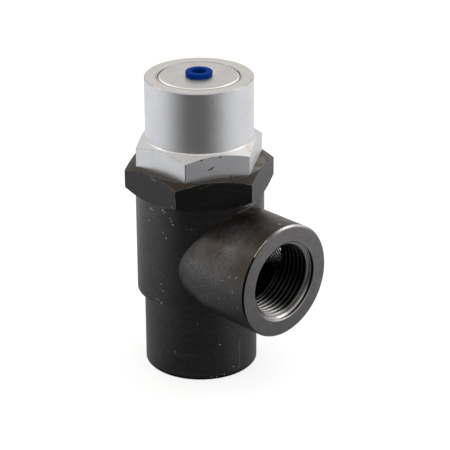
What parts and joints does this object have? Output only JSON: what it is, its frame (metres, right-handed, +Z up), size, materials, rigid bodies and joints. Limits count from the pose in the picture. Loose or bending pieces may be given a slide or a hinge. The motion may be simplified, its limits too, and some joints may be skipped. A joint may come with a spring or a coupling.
{
  "type": "minimum pressure valve",
  "caption": "Minimum pressure and non-return valve with threaded inlet below, threaded side outlet and gauge port, hexagon body and screwed spring cap with tube socket on top.",
  "frame": {"origin": "centre of the inlet face, on the valve axis", "axes": "+Z up the valve axis away from the inlet, +X out through the outlet port"},
  "size_m": [0.0817, 0.0558, 0.1304],
  "materials": {
    "blackened_steel": "chemically blackened turned steel, satin, worn bright on its edges",
    "anodised_aluminium": "clear anodised, satin",
    "plug_aluminium": "clear anodised, matt turned face",
    "machined_aluminium": "turned",
    "stainless_steel": "turned",
    "spring_steel": "drawn wire",
    "bronze": "turned bronze",
    "collar_brass": "turned brass",
    "black_rubber": "moulded nitrile rubber",
    "white_plastic": "smooth PTFE",
    "blue_plastic": "moulded acetal"
  },
  "bodies": {
    "root": {"valve_body": "blackened_steel", "spring_cap": "anodised_aluminium", "cap_o_ring": "black_rubber", "main_spring": "spring_steel"},
    "check_valve": {"check_disc": "stainless_steel", "disc_seal": "black_rubber", "seal_washer": "stainless_steel", "seal_screw": "stainless_steel", "check_spring": "spring_steel"},
    "piston_group": {"piston": "machined_aluminium", "stem_bush": "bronze", "piston_o_ring": "black_rubber", "piston_guide_ring": "white_plastic"},
    "plate_group": {"spring_plate": "stainless_steel"},
    "plug_group": {"setting_plug": "plug_aluminium", "plug_o_ring": "black_rubber", "tube_o_ring": "black_rubber", "backup_ring": "white_plastic", "grab_ring": "spring_steel", "cartridge_collar": "collar_brass"},
    "sleeve_group": {"release_sleeve": "blue_plastic"}
  },
  "joints": [
    {"name": "valve_lift", "type": "slide", "parent": "root", "child": "check_valve", "axis": [0, 0, 1], "range_m": [0, 0.007], "stiffness_N_per_m": 2000, "springref_m": -0.014, "deforming": ["main_spring"]},
    {"name": "piston_lead", "type": "slide", "parent": "check_valve", "child": "piston_group", "axis": [0, 0, 1], "range_m": [0, 0.003], "stiffness_N_per_m": 2000, "springref_m": -0.014, "deforming": ["check_spring"]},
    {"name": "plate_travel", "type": "slide", "parent": "root", "child": "plate_group", "axis": [0, 0, 1], "range_m": [-0.003, 0]},
    {"name": "plug_turn", "type": "hinge", "parent": "plate_group", "child": "plug_group", "pos_m": [0, 0, 0.12], "axis": [0, 0, 1], "range_deg": [-720, 0]},
    {"name": "sleeve_push", "type": "slide", "parent": "plug_group", "child": "sleeve_group", "axis": [0, 0, -1], "range_m": [0, 0.0008], "stiffness_N_per_m": 400, "springref_m": -0.001}
  ],
  "couplings": [
    {"joint": "plate_travel", "follows": "plug_turn", "m_per_rad": 0.00023873}
  ]
}
